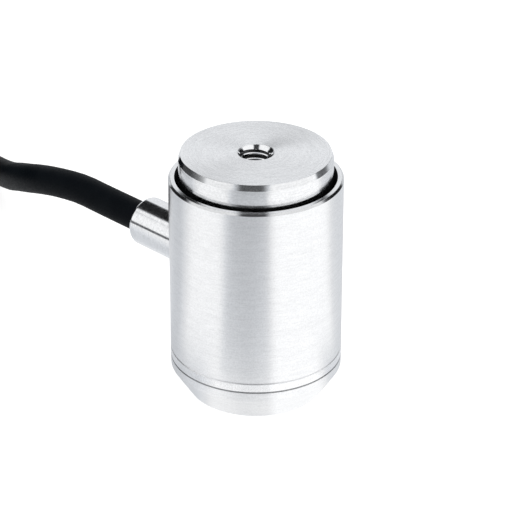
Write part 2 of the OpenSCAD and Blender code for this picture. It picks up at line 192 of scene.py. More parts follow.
def hankPoint(turn):
    turnFrom, turnTo = hank["turnOut"]
    radius = easeBetween(hank["innerRadius"], hank["outerRadius"], (turn - turnFrom) / (turnTo - turnFrom))
    share = turn % 1
    run = hank["runShare"]
    near, far = hank["nearFold"], hank["farFold"]
    height = hankHeight(turn)
    if share < run:
        return (near + (far - near) * share / run, radius, height)
    if share < 0.5:
        angle = math.pi * (0.5 + (share - run) / (0.5 - run))
        return (far + radius * math.cos(angle), radius * math.sin(angle), height)
    if share < 0.5 + run:
        return (far + (near - far) * (share - 0.5) / run, -radius, height)
    angle = math.pi * (-0.5 + (share - 0.5 - run) / (0.5 - run))
    return (near + radius * math.cos(angle), radius * math.sin(angle), height)


# A smooth line through the points, in even steps
def smoothRoute(points, step, finePoints=12):
    points = [Vector(point) for point in points]
    ends = [2 * points[0] - points[1]] + points + [2 * points[-1] - points[-2]]
    fine = []
    for a, b, c, d in zip(ends, ends[1:], ends[2:], ends[3:]):
        for part in range(finePoints):
            t = part / finePoints
            fine.append(0.5 * (2 * b + (c - a) * t + (2 * a - 5 * b + 4 * c - d) * t**2
                               + (3 * b - a - 3 * c + d) * t**3))
    fine.append(points[-1])
    whole = sum((b - a).length for a, b in zip(fine, fine[1:]))
    rings = round(whole / step)
    even = [fine[0]]
    walked, wanted = 0, whole / rings
    for a, b in zip(fine, fine[1:]):
        stretch = (b - a).length
        while wanted <= walked + stretch and len(even) < rings:
            even.append(a.lerp(b, (wanted - walked) / stretch))
            wanted += whole / rings
        walked += stretch
    even.append(points[-1])
    return even


def cableTube(name, centres, radius, sides):
    vertices, faces, around, along = [], [], [], []
    last = len(centres) - 1
    for number, centre in enumerate(centres):
        heading = (centres[min(number + 1, last)] - centres[max(number - 1, 0)]).normalized()
        across = Vector((0, 0, 1)).cross(heading).normalized()
        upright = heading.cross(across)
        for side in range(sides):
            turn = 2 * math.pi * side / sides
            vertices.append((centre + radius * (math.cos(turn) * across + math.sin(turn) * upright)) * mm)
    for number in range(last):
        for side in range(sides):
            a = number * sides + side
            b = number * sides + (side + 1) % sides
            faces.append((a, b, b + sides, a + sides))
            around.append((side / sides, (side + 1) / sides))
            along.append(number)
    faces.append(tuple(range(sides - 1, -1, -1)))
    faces.append(tuple(last * sides + side for side in range(sides)))
    mesh = bpy.data.meshes.new(name)
    mesh.from_pydata(vertices, [], faces)
    mesh.shade_smooth()
    lay = mesh.uv_layers.new(name="lay")  # around the jacket, and along it in metres
    step = (centres[1] - centres[0]).length * mm
    for number, (left, right) in enumerate(around):
        low, high = along[number] * step, (along[number] + 1) * step
        for corner, place in zip(mesh.polygons[number].loop_indices,
                                 ((left, low), (right, low), (right, high), (left, high))):
            lay.data[corner].uv = place
    return addObject(name, mesh)


turnCount = math.ceil(hank["lastTurn"] * hank["pointsPerTurn"])
hankTurns = [hank["lastTurn"] * number / turnCount for number in range(turnCount + 1)]
cableRoute = smoothRoute(cable["route"] + [hankPoint(turn) for turn in hankTurns], cable["ringStep"])
cableJacket = cableTube("cableJacket", cableRoute, cable["diameter"] / 2, cable["sides"])
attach(cableJacket, "root")
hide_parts("cable", "cable_hank")


print("hank tie")
hankTie = {
    "middle": -130,
    "width": 10,
    "widthParts": 4,
    "thickness": 0.96,
    "edgeBreak": 0.2,
    "slack": 0.02,  # between the tie and the turns
    "corner": 8,  # points on each rounded corner
    "tail": (-7, 17),  # from where to where the loose end lies on top
    "tailParts": 12,
    "tailGap": 0.05,  # below the loose end
    "topAbove": 25,  # height from which the tie counts as its top
}


# The tie lies tight around the outermost turns: the outline of all turns where it crosses them
def outlineOfTurns(radius):
    dots = []
    for turn in range(math.ceil(hank["lastTurn"])):
        for share in (hank["runShare"] / 2, 0.5 + hank["runShare"] / 2):
            if turn + share < hank["lastTurn"]:
                x, y, z = hankPoint(turn + share)
                for number in range(4 * hankTie["corner"]):
                    angle = 2 * math.pi * number / (4 * hankTie["corner"])
                    dots.append((y + radius * math.cos(angle), z + radius * math.sin(angle)))
    dots.sort()

    def half(row):
        chain = []
        for dot in row:
            while len(chain) > 1 and ((chain[-1][0] - chain[-2][0]) * (dot[1] - chain[-2][1])
                                      <= (chain[-1][1] - chain[-2][1]) * (dot[0] - chain[-2][0])):
                chain.pop()
            chain.append(dot)
        return chain[:-1]
    return half(dots) + half(reversed(dots))


def tieBand(name, line, closed):
    piece = drawLine(name, [(hankTie["middle"] - hankTie["width"] / 2, y, z) for y, z in line], closed)
    bpy.ops.mesh.select_all(action="SELECT")
    part = hankTie["width"] / hankTie["widthParts"] * mm
    for number in range(hankTie["widthParts"]):
        bpy.ops.mesh.extrude_region_move(TRANSFORM_OT_translate={"value": (part, 0, 0)})
    bpy.ops.mesh.select_all(action="SELECT")
    bpy.ops.mesh.normals_make_consistent(inside=False)
    bpy.ops.object.mode_set(mode="OBJECT")
    addModifier(piece, "webbing", "SOLIDIFY", thickness=hankTie["thickness"] * mm, offset=1,
                use_even_offset=True)
    addModifier(piece, "softEdges", "BEVEL", width=hankTie["edgeBreak"] * mm, segments=2,
                limit_method="ANGLE", angle_limit=math.radians(50))
    applyModifiers(piece)
    smoothBelow(40)
    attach(piece, "root")
    return piece


tieLine = outlineOfTurns(cable["diameter"] / 2 + hankTie["slack"])
tieLoop = tieBand("tieLoop", tieLine, True)
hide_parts("hank_strap")
tailLift = hankTie["thickness"] + hankTie["tailGap"]
topLine = sorted((y, z + tailLift) for y, z in tieLine if z + tailLift > hankTie["topAbove"])


# Height of the tail's underside on top of the tie
def topHeight(y):
    for (yA, zA), (yB, zB) in zip(topLine, topLine[1:]):
        if yA <= y <= yB:
            return zA + (zB - zA) * (y - yA) / max(yB - yA, tiny)
    return topLine[-1][1]


tailFrom, tailTo = hankTie["tail"]
tailPoints = [tailTo - (tailTo - tailFrom) * number / hankTie["tailParts"]
              for number in range(hankTie["tailParts"] + 1)]
tieTail = tieBand("tieTail", [(y, topHeight(y)) for y in tailPoints], False)


print("leads")
leads = {
    "start": (-123.5, -22.4, 3.8),
    "pitch": 1.6,
    "diameter": 1.2,
    "sides": 20,
    "length": 16,
    "coveredParts": 8,
    "bare": 4.5,  # tinned end without insulation
    "bareParts": 5,
    "solderOver": 0.05,  # the tinning reaches over the cut end of the insulation
    "strandDiameter": 0.62,
    "splay": 0.55,
    "places": {"redLead": (1, 1), "blackLead": (-1, 1), "greenLead": (1, -1), "whiteLead": (-1, -1)},
}


# An insulated lead along +X with its stripped and tinned end
def insulatedLead(name):
    startX, startY, startZ = leads["start"]
    covered = leads["length"] - leads["bare"]
    clearSelection()
    bpy.ops.mesh.primitive_cylinder_add(
        vertices=leads["sides"], radius=leads["diameter"] / 2 * mm, depth=covered * mm,
        location=((startX + covered / 2) * mm, startY * mm, startZ * mm), rotation=(0, math.pi / 2, 0))
    piece = bpy.context.object
    piece.name = name
    bpy.ops.object.transform_apply(location=True, rotation=True, scale=True)
    bpy.ops.object.mode_set(mode="EDIT")
    bpy.ops.mesh.select_mode(type="FACE")
    bpy.ops.mesh.select_all(action="DESELECT")
    bpy.ops.object.mode_set(mode="OBJECT")
    for face in piece.data.polygons:
        face.select = face.normal.x > 0.9  # the end face
    bpy.ops.object.mode_set(mode="EDIT")
    bpy.ops.mesh.inset(thickness=(leads["diameter"] - leads["strandDiameter"]) / 2 * mm)
    part = leads["bare"] / leads["bareParts"] * mm
    for number in range(leads["bareParts"]):
        bpy.ops.mesh.extrude_region_move(TRANSFORM_OT_translate={"value": (part, 0, 0)})
    for number in range(1, leads["coveredParts"]):
        ringX = (startX + covered * number / leads["coveredParts"]) * mm
        bpy.ops.mesh.select_all(action="SELECT")
        bpy.ops.mesh.bisect(plane_co=(ringX, 0, 0), plane_no=(1, 0, 0))
    bpy.ops.object.mode_set(mode="OBJECT")
    smoothBelow(35)
    return piece


def placedLead(model, name, place):
    lead = addObject(name, model.data.copy())
    for vertex in lead.data.vertices:
        share = (vertex.co.x / mm - leads["start"][0]) / leads["length"]
        spread = leads["pitch"] / 2 + leads["splay"] * share**2
        vertex.co.y += place[0] * spread * mm
        vertex.co.z += place[1] * spread * mm
    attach(lead, "root")
    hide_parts("lead_ends")
    return lead


leadModel = insulatedLead("leadModel")
leadPieces = {name: placedLead(leadModel, name, place) for name, place in leads["places"].items()}
bpy.data.objects.remove(leadModel)


print("load head")
loadHead = {
    "bottom": 35.3,
    "top": 45,
    "radius": 13.25,
    "bevel": (0.35, 1),  # across, and down the side
    "undercut": 0.35,
    "socketRadius": 4.84,
    "socketTop": 38.3,
    "mouthRadius": 3.2,
    "boreRadius": 3.03,
    "threadBottom": 39,
    "edgeBreak": 0.05,
}
foot = {
    "drillRadius": 2.5,
    "boreRadius": 2.86,
    "mouthRadius": 2.9,
    "mouthEdges": 1,  # points below this height belong to the countersink's edges
    "threadTop": 8,
    "slack": (0.01, 0.1),  # a point this close belongs to the hole's wall, and this close to its top
}
thread = {
    "coreRadius": 2.5,
    "clearance": 0.02,  # between its roots and the bore it lines
    "pitch": 1,
    "corners": (0.22, 0.27, 0.54, 0.6, 0.67, 0.73, 0.96),  # of one groove, as shares of the pitch
    "crestEase": 0.06,  # how far a groove's corners stand off its crest and root
    "rootEase": 0.05,
    "start": 0.12,  # inside the mouth
    "steps": 72,
    "wall": 0.05,
}


def moveOut(vertex, radius, newRadius):
    vertex.co.x *= newRadius / radius
    vertex.co.y *= newRadius / radius


# One pitch of a metric thread's groove, drawn outwards from the core and wound up
def threadLining(name, lowZ, highZ, mouthZ, mouthRadius, boreRadius):
    core, root, pitch = thread["coreRadius"], boreRadius - thread["clearance"], thread["pitch"]
    low = lowZ - pitch
    turns = math.ceil((highZ - lowZ) / pitch) + 2  # one more at either end, to be cut off
    crest, ease = core + thread["crestEase"], root - thread["rootEase"]
    groove = zip((core, crest, ease, root, root, ease, crest), thread["corners"])
    piece = drawLine(name, [(core, 0, low), *((radius, 0, low + share * pitch) for radius, share in groove),
                            (core, 0, low + pitch)])
    bpy.ops.object.mode_set(mode="OBJECT")
    addModifier(piece, "winding", "SCREW", axis="Z", angle=2 * math.pi, screw_offset=pitch * mm,
                iterations=turns, steps=thread["steps"], render_steps=thread["steps"],
                use_merge_vertices=True, merge_threshold=sameSpot)
    applyModifiers(piece)
    bpy.ops.object.mode_set(mode="EDIT")
    for z, away in ((lowZ, -1), (highZ, 1)):
        bpy.ops.mesh.select_all(action="SELECT")
        bpy.ops.mesh.bisect(plane_co=(0, 0, z * mm), plane_no=(0, 0, away), clear_outer=True)
    bpy.ops.mesh.select_all(action="SELECT")
    bpy.ops.mesh.remove_doubles(threshold=shortEdge)
    bpy.ops.object.mode_set(mode="OBJECT")
    for vertex in piece.data.vertices:  # the countersink cuts the first ridges off
        radius = math.hypot(vertex.co.x, vertex.co.y)
        cone = mouthRadius * mm - abs(mouthZ * mm - vertex.co.z)
        if cone > radius:
            moveOut(vertex, radius, cone)
    for face in piece.data.polygons:  # the lining faces the axis
        if face.normal.x * face.center.x + face.normal.y * face.center.y > 0:
            face.flip()
    addModifier(piece, "sleeve", "SOLIDIFY", thickness=thread["wall"] * mm, offset=-1)
    applyModifiers(piece)
    smoothBelow(28)
    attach(piece, "root")
    return piece


headPiece = turnedSolid("headPiece", [
    (0, loadHead["socketTop"]),
    (loadHead["socketRadius"], loadHead["socketTop"]),
    (loadHead["socketRadius"], loadHead["bottom"]),
    (loadHead["radius"] - loadHead["undercut"], loadHead["bottom"]),
    (loadHead["radius"], loadHead["bottom"] + loadHead["undercut"]),
    (loadHead["radius"], loadHead["top"] - loadHead["bevel"][1]),
    (loadHead["radius"] - loadHead["bevel"][0], loadHead["top"]),
    (loadHead["mouthRadius"], loadHead["top"]),
    (loadHead["boreRadius"], loadHead["top"] - loadHead["mouthRadius"] + loadHead["boreRadius"]),
    (loadHead["boreRadius"], loadHead["threadBottom"]),
    (0, loadHead["threadBottom"]),
], loadHead["edgeBreak"])
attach(headPiece, "root")
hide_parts("load_head")
headThread = threadLining("headThread", loadHead["threadBottom"], loadHead["top"] - thread["start"],
                          loadHead["top"], loadHead["mouthRadius"], loadHead["boreRadius"])


print("foot")


# The element keeps its form, and its drilled hole is opened to the roots of the thread
def threadedElement(name):
    piece = addObject(name, cadNodes["sensing_element"].data.copy())
    pickPiece(piece)
    bpy.ops.mesh.customdata_custom_splitnormals_clear()
    bpy.ops.object.mode_set(mode="EDIT")
    bpy.ops.mesh.select_all(action="SELECT")
    bpy.ops.mesh.remove_doubles(threshold=sameSpot)
    bpy.ops.mesh.dissolve_degenerate(threshold=shortEdge)
    bpy.ops.object.mode_set(mode="OBJECT")
    drill, bore, mouth = foot["drillRadius"] * mm, foot["boreRadius"] * mm, foot["mouthRadius"] * mm
    nearWall, nearTop = foot["slack"]
    for vertex in piece.data.vertices:
        radius, height = math.hypot(vertex.co.x, vertex.co.y), vertex.co.z
        onWall = abs(radius - drill) < nearWall * mm and height < (foot["threadTop"] + nearTop) * mm
        onCountersink = drill < radius < mouth and height < mouth - drill
        if onWall or onCountersink:
            wider = bore if onWall else mouth - (mouth - radius) * (mouth - bore) / (mouth - drill)
            moveOut(vertex, radius, wider)
            if height < foot["mouthEdges"] * mm:
                vertex.co.z = mouth - wider
    smoothBelow(15)
    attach(piece, "root")
    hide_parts("sensing_element")
    return piece


elementPiece = threadedElement("elementPiece")
footThread = threadLining("footThread", thread["start"], foot["threadTop"], 0, foot["mouthRadius"],
                          foot["boreRadius"])


print("materials")
noiseSpan = (0.3, 0.7)  # where most values of a noise lie
cloudSpan = (0.35, 0.65)


# Nodes of a material or of the world: an input is a value or another node's output
class NodeBench:
    def __init__(self, tree):
        self.tree = tree

    def add(self, kind, inputs=(), **settings):
        node = self.tree.nodes.new(kind)
        for key, value in settings.items():
            setattr(node, key, value)
        for socket, value in dict(inputs).items():
            if isinstance(value, bpy.types.NodeSocket):
                self.tree.links.new(value, node.inputs[socket])
            else:
                node.inputs[socket].default_value = value
        return node

    def parts(self, vector):
        return self.add("ShaderNodeSeparateXYZ", {0: vector}).outputs[:]

    def calculate(self, operation, a, b=0.0):
        return self.add("ShaderNodeMath", {0: a, 1: b}, operation=operation).outputs[0]

    def product(self, a, b):
        return self.calculate("MULTIPLY", a, b)

    # The sum of two values, each times its weight
    def weighted(self, a, weightA, b, weightB):
        return self.calculate("ADD", self.product(a, weightA), self.product(b, weightB))

    def distance(self, x, y):
        return self.calculate("SQRT", self.weighted(x, x, y, y))

    def between(self, value, low, high, toLow=0.0, toHigh=1.0):
        return self.add("ShaderNodeMapRange", {
            "Value": value, "From Min": low, "From Max": high, "To Min": toLow, "To Max": toHigh,
        }).outputs[0]

    def mix(self, share, first, second):
        return self.add("ShaderNodeMix", {0: share, 2: first, 3: second}, data_type="FLOAT").outputs[0]

    def blend(self, share, first, second):
        return self.add("ShaderNodeMix", {0: share, 6: first, 7: second}, data_type="RGBA").outputs[2]


# A material, whose shader is fed step by step
class Finish(NodeBench):
    def __init__(self, name, **values):
        self.material = bpy.data.materials.new(name)
        self.material.use_nodes = True
        super().__init__(self.material.node_tree)
        self.shader = self.tree.nodes["Principled BSDF"]
        for socket, value in values.items():
            self.shader.inputs[socket.replace("_", " ")].default_value = value
        self.place = self.add("ShaderNodeTexCoord").outputs["Object"]

    def noise(self, place, scale=1.0, detail=3.0, roughness=0.5):
        return self.add("ShaderNodeTexNoise", {
            "Vector": place, "Scale": scale, "Detail": detail, "Roughness": roughness}).outputs["Fac"]

    # Ribs that repeat after a length
    def ribs(self, value, length):
        return self.calculate("SINE", self.product(value, 2 * math.pi / length))

    # 1 between two lengths in mm, with a soft edge
    def within(self, value, low, high, soft):
        return self.product(self.between(value, (low - soft) * mm, (low + soft) * mm),
                            self.between(value, (high - soft) * mm, (high + soft) * mm, 1, 0))

    def dimmed(self, colour, share):
        return self.add("ShaderNodeVectorMath", {0: colour, "Scale": share}, operation="SCALE").outputs[0]

    def bumps(self, height, depth, strength=1.0, over=None):
        inputs = {"Height": height, "Distance": depth, "Strength": strength}
        if over is not None:
            inputs["Normal"] = over
        return self.add("ShaderNodeBump", inputs).outputs[0]

    def connect(self, value, socket):
        self.tree.links.new(value, self.shader.inputs[socket])

    def complete(self, colour, roughness, normal):
        self.connect(colour, "Base Color")
        self.connect(roughness, "Roughness")
        self.connect(normal, "Normal")
        return self.material


gland = {"height": 22}
steel = {
    "colour": (0.927, 0.935, 0.948, 1),
    "shade": (0.840, 0.848, 0.862, 1),
    "toneSpan": (0.32, 0.62),  # of the marks, from shade to colour
    "roughness": (0.29, 0.31),
    "stretch": 0.8,  # how far the turned marks spread reflections across them
    "markSize": 0.16 * mm,
    "markLength": 7,  # marks around the axis, the more the shorter
    "fineShare": 0.65,
    "bandSize": 0.6 * mm,
    "bandLength": 3,  # against a mark's length
    "grit": 0.065,  # lighter and darker specks, as a share of the colour
    "gritSize": 0.26 * mm,
    "depth": 0.0004 * mm,
    "crown": (0, 0, 0),  # slope of a slightly domed ring, from and to these radii in mm
    "zones": [],
    "zoneEdge": 0.02,  # how soft a zone's edge is along the radius
}
# Places with a look of their own: heights and radii in mm, roughness, and a share of the colour; where a
# comment says so, the share darkens the colour as painted shade
# Painted shade in the head's threaded hole: the thread is darkened to 0.12 of its colour away from its
# crests, and to 0.4 in the hole's lower part
threadPaintedShade = [
    {"z": (38, 44.2), "r": (2.66, 3.3), "roughness": 0.3, "colour": 0.12, "soft": 0.05},
    {"z": (38, 41.6), "r": (2, 3.3), "roughness": 0.2, "colour": 0.4, "soft": 0.5},
]
weldZone = {"z": (8.02, 8.38), "r": (14.85, 15.1), "roughness": 0.5, "colour": 1, "soft": 0.02}
rimZones = [
    weldZone,
    # Painted shade: the rim's outer chamfer is darkened to 0.8 of the colour
    {"z": (40.22, 40.7), "r": (14.62, 15.1), "roughness": 0.15, "colour": 0.8, "soft": 0.02},
    {"z": (40.5, 40.7), "r": (13.8, 14.6), "roughness": 0.16, "colour": 0.95, "soft": 0.02},
    # Painted shade in the gap around the load head: the casing's inner wall is darkened to 0.06 of the
    # colour
    {"z": (36, 40.5), "r": (13.8, 14.3), "roughness": 0.5, "colour": 0.06, "soft": 0.05},
]
collarZones = [
    {"z": (6.5, 8.4), "r": (14.4, 15.1), "roughness": 0.14, "colour": 1, "soft": 0.02},
    weldZone,
    # Painted shade in the turned groove: darkened to 0.75 of the colour
    {"z": (6.1, 6.62), "r": (14.4, 14.98), "roughness": 0.4, "colour": 0.75, "soft": 0.02},
]
headZones = [
    {"z": (44.9, 45.1), "r": (3.1, 12.86), "roughness": 0.27, "colour": 1, "soft": 0.02},
    {"z": (43.92, 45.1), "r": (12.86, 13.4), "roughness": 0.12, "colour": 0.95, "soft": 0.02},
    # Painted shade towards the gap: the head's wall is darkened a little (0.98) below 43.3 mm, and to 0.9
    # of its colour below 41.7 mm
    {"z": (34, 43.3), "r": (12.5, 13.4), "roughness": 0.20, "colour": 0.98, "soft": 0.2},
    {"z": (34, 41.7), "r": (12.5, 13.4), "roughness": 0.10, "colour": 0.9, "soft": 0.3},
    # Painted shade in the threaded hole: the head's bore is darkened to 0.3 of the colour
    {"z": (38, 44.7), "r": (-1, 3.1), "roughness": 0.3, "colour": 0.3, "soft": 0.05},
]


# Height along the axis, radius and direction around it
def aboutAxis(finish, axis):
    x, y, z = finish.parts(finish.place)
    if axis == "x":
        x, y, z = y, finish.calculate("SUBTRACT", z, gland["height"] * mm), x
    radius = finish.distance(x, y)
    unit = finish.calculate("ADD", radius, tiny)
    return z, radius, finish.calculate("DIVIDE", x, unit), finish.calculate("DIVIDE", y, unit)


# Marks of the lathe: rings on faces and lines around walls, which fade in and out around the axis
def latheMarks(finish, axis, size, length):
    along, radius, side, ahead = aboutAxis(finish, axis)
    place = finish.add("ShaderNodeCombineXYZ", {
        0: finish.calculate("DIVIDE", finish.calculate("ADD", along, radius), size),
        1: finish.product(side, length),
        2: finish.product(ahead, length),
    }).outputs[0]
    return finish.noise(place, 1, detail=2, roughness=0.6)


# Direction around the axis, which turned marks follow
def aroundAxis(finish, axis):
    centre = (0, 0, 0) if axis == "z" else (0, 0, gland["height"] * mm)
    arm = finish.add("ShaderNodeVectorMath", {0: finish.place, 1: centre}, operation="SUBTRACT").outputs[0]
    turn = {"z": (0, 0, 1), "x": (1, 0, 0)}[axis]
    around = finish.add("ShaderNodeVectorMath", {0: turn, 1: arm}, operation="CROSS_PRODUCT").outputs[0]
    return finish.add("ShaderNodeVectorMath", {0: around}, operation="NORMALIZE").outputs[0]


def turnedFinish(name, axis="z", **changes):
    look = {**steel, **changes}
    finish = Finish(name, Metallic=1.0, Anisotropic=look["stretch"], Anisotropic_Rotation=0.25)
    fineMarks = latheMarks(finish, axis, look["markSize"], look["markLength"])
    wideMarks = latheMarks(finish, axis, look["bandSize"], look["markLength"] / look["bandLength"])
    both = finish.weighted(fineMarks, look["fineShare"], wideMarks, 1 - look["fineShare"])
    specks = finish.between(finish.noise(finish.place, 1 / look["gritSize"], detail=2, roughness=0.6),
                            *noiseSpan, 1 - look["grit"], 1 + look["grit"])
    colour = finish.blend(finish.between(both, *look["toneSpan"]), look["shade"], look["colour"])
    colour = finish.dimmed(colour, specks)
    smooth, rough = look["roughness"]
    roughness = finish.between(both, *cloudSpan, rough, smooth)
    along, radius = aboutAxis(finish, axis)[:2]
    # Each zone sets its roughness and scales the colour, which in several zones is painted shade
    for zone in look["zones"]:
        here = finish.product(finish.within(along, *zone["z"], zone["soft"]),
                              finish.within(radius, *zone["r"], look["zoneEdge"]))
        roughness = finish.mix(here, roughness, zone["roughness"])
        colour = finish.blend(here, colour, finish.dimmed(colour, zone["colour"]))
    slope, inner, outer = look["crown"]
    domed = None
    if slope:
        onRing = finish.calculate("MAXIMUM", inner * mm, finish.calculate("MINIMUM", outer * mm, radius))
        domed = finish.bumps(finish.product(-slope, onRing), depth=1.0)
    finish.connect(aroundAxis(finish, axis), "Tangent")
    return finish.complete(colour, roughness, finish.bumps(fineMarks, look["depth"], over=domed))


jacketLook = {
    "colour": (0.0013, 0.0022, 0.0034, 1),
    "dusty": (0.0031, 0.0043, 0.0058, 1),
    "dustScale": 130,  # patches of dust in a metre
    "dustSpan": (0.4, 0.7),
    "roughness": (0.48, 0.66),
    "grain": 0.35 * mm,
    "grainBump": (0.012 * mm, 0.6),  # depth and strength
    "cores": 4,
    "layLength": 44 * mm,  # one turn of the cores below the jacket
    "coreBump": (0.03 * mm, 0.5),
}


def jacketFinish():
    finish = Finish("cableJacket", Specular_IOR_Level=0.06)
    grain = finish.noise(finish.place, 1 / jacketLook["grain"])
    dust = finish.between(finish.noise(finish.place, jacketLook["dustScale"]), *jacketLook["dustSpan"])
    around, along = finish.parts(finish.add("ShaderNodeUVMap", uv_map="lay").outputs[0])[:2]
    turn = 2 * math.pi * jacketLook["cores"]
    cores = finish.calculate("SINE", finish.weighted(around, turn, along, turn / jacketLook["layLength"]))
    return finish.complete(
        finish.blend(dust, jacketLook["colour"], jacketLook["dusty"]),
        finish.between(grain, *noiseSpan, *jacketLook["roughness"]),
        finish.bumps(grain, *jacketLook["grainBump"], finish.bumps(cores, *jacketLook["coreBump"])))


# A moulded, cast or drawn surface: two close colours in clouds, a fine grain and its bumps
def mouldedFinish(name, look, **values):
    finish = Finish(name, **values)
    cloud = finish.noise(finish.place, 1 / look["cloud"])
    grain = finish.noise(finish.place, 1 / look["grain"], detail=2)
    return finish.complete(
        finish.blend(finish.between(cloud, *cloudSpan), look["colour"], look["second"]),
        finish.between(grain, *noiseSpan, *look["roughness"]), finish.bumps(grain, look["depth"]))


def wear(piece, *materials):
    piece.data.materials.clear()
    for material in materials:
        piece.data.materials.append(material)


def greyOf(value, blue=1.02):
    return (value, value, value * blue, 1)


wear(cadNodes["casing_tube"], turnedFinish("casingSteel", zones=rimZones, crown=(0.27, 13.9, 14.68)))
wear(elementPiece, turnedFinish("elementSteel", zones=collarZones))
wear(headPiece, turnedFinish("headSteel", shade=(0.79, 0.80, 0.815, 1), markLength=5, bandSize=0.9 * mm,
                             gritSize=0.42 * mm, zones=headZones))
threadSteel = turnedFinish("threadSteel", roughness=(0.10, 0.14), stretch=0.2, zones=threadPaintedShade)
for piece in (headThread, footThread):
    wear(piece, threadSteel)
wear(cadNodes["gland_barrel"], turnedFinish(
    "polishedSteel", "x", shade=(0.81, 0.82, 0.835, 1), roughness=(0.10, 0.17), stretch=0.3,
    depth=0.0006 * mm))
# The diaphragm's steel is darker than the rest, as painted shade of the deep gap around the head
wear(cadNodes["diaphragm"], turnedFinish("sheetSteel", colour=greyOf(0.5), shade=greyOf(0.42),
                                         roughness=(0.24, 0.3), markSize=0.3 * mm))
wear(cableJacket, jacketFinish())

brass = {
    "colour": (0.78, 0.57, 0.24, 1),
    "shade": (0.66, 0.46, 0.18, 1),
    "roughness": (0.22, 0.34),
    "stretch": 0.5,
}
turnedBrass = turnedFinish("turnedBrass", "x", **brass)
for nodeName in ("outer_washer", "inner_washer"):
    wear(cadNodes[nodeName], turnedBrass)
wear(cadNodes["crimp_sleeve"], turnedFinish("pressedBrass", "x", **{**brass, "roughness": (0.34, 0.5)}))

# For each node the name of its finish, its look, and values of its shader
moulded = {
    "board_screws": ("screwSteel", {
        "colour": greyOf(0.62), "second": greyOf(0.5), "roughness": (0.25, 0.4),
        "cloud": 1.2 * mm, "grain": 0.08 * mm, "depth": 0.001 * mm}, {"Metallic": 1.0}),
    "terminal_pins": ("gildedBrass", {
        "colour": (0.95, 0.72, 0.30, 1), "second": (0.86, 0.62, 0.24, 1), "roughness": (0.15, 0.3),
        "cloud": 0.6 * mm, "grain": 0.05 * mm, "depth": 0.0006 * mm}, {"Metallic": 1.0}),
    "cable_seal": ("sealRubber", {
        "colour": (0.015, 0.015, 0.016, 1), "second": (0.028, 0.028, 0.029, 1), "roughness": (0.55, 0.75),
        "cloud": 1.5 * mm, "grain": 0.12 * mm, "depth": 0.004 * mm}, {}),
    "potting_plug": ("castResin", {
        "colour": (0.020, 0.035, 0.040, 1), "second": (0.032, 0.052, 0.058, 1), "roughness": (0.12, 0.3),
        "cloud": 1.1 * mm, "grain": 0.5 * mm, "depth": 0.004 * mm}, {"Coat Weight": 0.4}),
    "board_spacers": ("spacerNylon", {
        "colour": (0.74, 0.72, 0.64, 1), "second": (0.66, 0.63, 0.55, 1), "roughness": (0.35, 0.5),
        "cloud": 1.6 * mm, "grain": 0.15 * mm, "depth": 0.002 * mm}, {"Subsurface Weight": 0.2}),
    "solder_pads": ("solder", {
        "colour": (0.70, 0.70, 0.69, 1), "second": (0.56, 0.56, 0.56, 1), "roughness": (0.18, 0.42),
        "cloud": 0.3 * mm, "grain": 0.09 * mm, "depth": 0.004 * mm}, {"Metallic": 1.0}),
    "trim_resistors": ("resistorChip", {
        "colour": (0.035, 0.034, 0.034, 1), "second": (0.055, 0.054, 0.053, 1), "roughness": (0.3, 0.5),
        "cloud": 0.8 * mm, "grain": 0.06 * mm, "depth": 0.002 * mm}, {}),
    "temperature_resistors": ("resistorGlaze", {
        "colour": (0.10, 0.24, 0.42, 1), "second": (0.08, 0.19, 0.35, 1), "roughness": (0.12, 0.26),
        "cloud": 0.9 * mm, "grain": 0.2 * mm, "depth": 0.003 * mm}, {"Coat Weight": 0.6}),
    "drain_wire": ("tinnedCopper", {
        "colour": (0.72, 0.71, 0.69, 1), "second": (0.60, 0.57, 0.53, 1), "roughness": (0.25, 0.4),
        "cloud": 0.4 * mm, "grain": 0.06 * mm, "depth": 0.003 * mm}, {"Metallic": 1.0}),
    "bridge_wires": ("bridgeWire", {
        "colour": (0.50, 0.10, 0.04, 1), "second": (0.40, 0.07, 0.03, 1), "roughness": (0.2, 0.35),
        "cloud": 0.5 * mm, "grain": 0.05 * mm, "depth": 0.001 * mm}, {"Coat Weight": 0.5}),
}
for nodeName, (name, look, values) in moulded.items():
    wear(cadNodes[nodeName], mouldedFinish(name, look, **values))

insulation = {
    "red": ((0.42, 0.018, 0.014, 1), (0.34, 0.014, 0.011, 1)),
    "black": ((0.012, 0.012, 0.013, 1), (0.02, 0.02, 0.021, 1)),
    "green": ((0.022, 0.20, 0.065, 1), (0.018, 0.16, 0.052, 1)),
    "white": ((0.74, 0.74, 0.72, 1), (0.66, 0.66, 0.64, 1)),
}
for colourName, (colour, second) in insulation.items():
    sheath = mouldedFinish(colourName + "Insulation", {
        "colour": colour, "second": second, "roughness": (0.3, 0.44), "cloud": 1.4 * mm,
        "grain": 0.1 * mm, "depth": 0.001 * mm})
    wear(cadNodes[colourName + "_core"], sheath)
    wear(leadPieces[colourName + "Lead"], sheath)

strandLook = {
    "valleyPaintedShade": (0.52, 0.50, 0.47, 1),
    "colour": (0.78, 0.77, 0.74, 1),
    "width": 0.28 * mm,
    "slant": 1.4,
    "grainScale": 9000,  # grains in a metre
    "roughness": (0.24, 0.42),
    "bump": (0.02 * mm, 0.8),
}


# Twisted and tinned strands at the stripped ends; the valleys between strands are darker, as painted shade
def tinnedStrands():
    finish = Finish("tinnedStrands", Metallic=1.0)
    x, y = finish.parts(finish.place)[:2]
    strand = finish.ribs(finish.weighted(x, 1.0, y, strandLook["slant"]), strandLook["width"])
    grain = finish.noise(finish.place, strandLook["grainScale"], detail=2)
    return finish.complete(
        finish.blend(finish.between(strand, -1, 1), strandLook["valleyPaintedShade"], strandLook["colour"]),
        finish.between(grain, *noiseSpan, *strandLook["roughness"]),
        finish.bumps(strand, *strandLook["bump"]))


